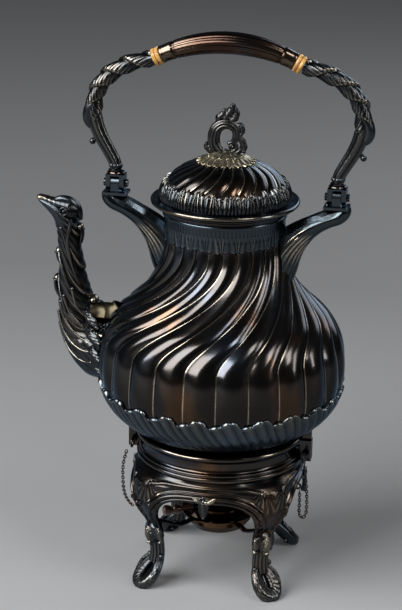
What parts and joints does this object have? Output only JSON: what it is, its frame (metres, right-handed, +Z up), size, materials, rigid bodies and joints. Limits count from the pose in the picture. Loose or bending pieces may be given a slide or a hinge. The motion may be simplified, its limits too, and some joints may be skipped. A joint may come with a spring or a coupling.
{
  "type": "spirit kettle on stand",
  "caption": "Swirl-fluted pear-shaped kettle with hinged lid and swing handle, tipping on a pierced footed stand that holds a spirit lamp.",
  "frame": {"origin": "under the middle of the whole outline, on the surface that the feet stand on", "axes": "+Z up, -X towards the spout, -Y towards the front; the kettle's upright axis stands at x = 0.0177"},
  "size_m": [0.2494, 0.1868, 0.4202],
  "materials": {
    "toned_silver": "polished silver toned dark brown and blue-black",
    "pale_silver": "polished silver toned pale straw",
    "ivory": "smooth ivory or bone",
    "dark_wood": "turned and polished dark wood",
    "cotton": "braided cotton"
  },
  "bodies": {
    "stand": {"stand_ring": "toned_silver", "kettle_seat": "toned_silver", "stand_body": "toned_silver", "apron_pendants": "pale_silver", "leg_front_left": "toned_silver", "leg_front_right": "toned_silver", "leg_rear_left": "toned_silver", "leg_rear_right": "toned_silver", "stand_lug_left": "toned_silver", "stand_lug_right": "toned_silver", "chain_staples": "toned_silver", "chain_left": "toned_silver", "chain_right": "toned_silver", "lamp_dish": "toned_silver", "lamp_arms": "toned_silver"},
    "lamp": {"lamp_reservoir": "toned_silver", "lamp_cover": "toned_silver", "burner_tube": "toned_silver", "wick": "cotton", "lamp_ferrule": "toned_silver", "lamp_handle": "dark_wood"},
    "snuffer": {"snuffer_cap": "toned_silver"},
    "pin_left": {"lug_pin_left": "toned_silver"},
    "pin_right": {"lug_pin_right": "toned_silver"},
    "kettle": {"kettle_body": "toned_silver", "kettle_foot_ring": "toned_silver", "rim_moulding": "toned_silver", "spout": "toned_silver", "kettle_lug_left": "toned_silver", "kettle_lug_right": "toned_silver", "handle_bracket_left": "toned_silver", "handle_bracket_right": "toned_silver", "handle_pin_left": "toned_silver", "handle_pin_right": "toned_silver", "rim_hinge": "toned_silver", "lid_hinge_pin": "toned_silver"},
    "lid": {"lid_seat": "toned_silver", "lid_dome": "toned_silver", "lid_hinge": "toned_silver", "lid_rosette": "pale_silver", "finial": "pale_silver", "finial_nut": "toned_silver"},
    "handle": {"handle_knuckle_left": "toned_silver", "handle_knuckle_right": "toned_silver", "handle_collar_left": "toned_silver", "handle_collar_right": "toned_silver", "handle_arm_left": "toned_silver", "handle_arm_right": "toned_silver", "insulator_left": "ivory", "insulator_right": "ivory", "grip": "toned_silver"}
  },
  "joints": [
    {"name": "kettle_tilt", "type": "hinge", "parent": "stand", "child": "kettle", "pos_m": [-0.0488, 0, 0.101], "axis": [0, -1, 0], "range_deg": [0, 40]},
    {"name": "lid_hinge", "type": "hinge", "parent": "kettle", "child": "lid", "pos_m": [0.0177, 0.0578, 0.2986], "axis": [-1, 0, 0], "range_deg": [0, 100]},
    {"name": "handle_swing", "type": "hinge", "parent": "kettle", "child": "handle", "pos_m": [0.0177, 0, 0.3036], "axis": [1, 0, 0], "range_deg": [-10, 85]},
    {"name": "pin_left_pull", "type": "slide", "parent": "stand", "child": "pin_left", "axis": [0, -1, 0], "range_m": [0, 0.022], "deforming": ["chain_left"]},
    {"name": "pin_right_pull", "type": "slide", "parent": "stand", "child": "pin_right", "axis": [0, -1, 0], "range_m": [0, 0.022], "deforming": ["chain_right"]},
    {"name": "lamp_lift", "type": "slide", "parent": "stand", "child": "lamp", "axis": [0, 0, 1], "range_m": [0, 0.01]},
    {"name": "snuffer_lift", "type": "slide", "parent": "lamp", "child": "snuffer", "axis": [0, 0, 1], "range_m": [0, 0.025]}
  ]
}
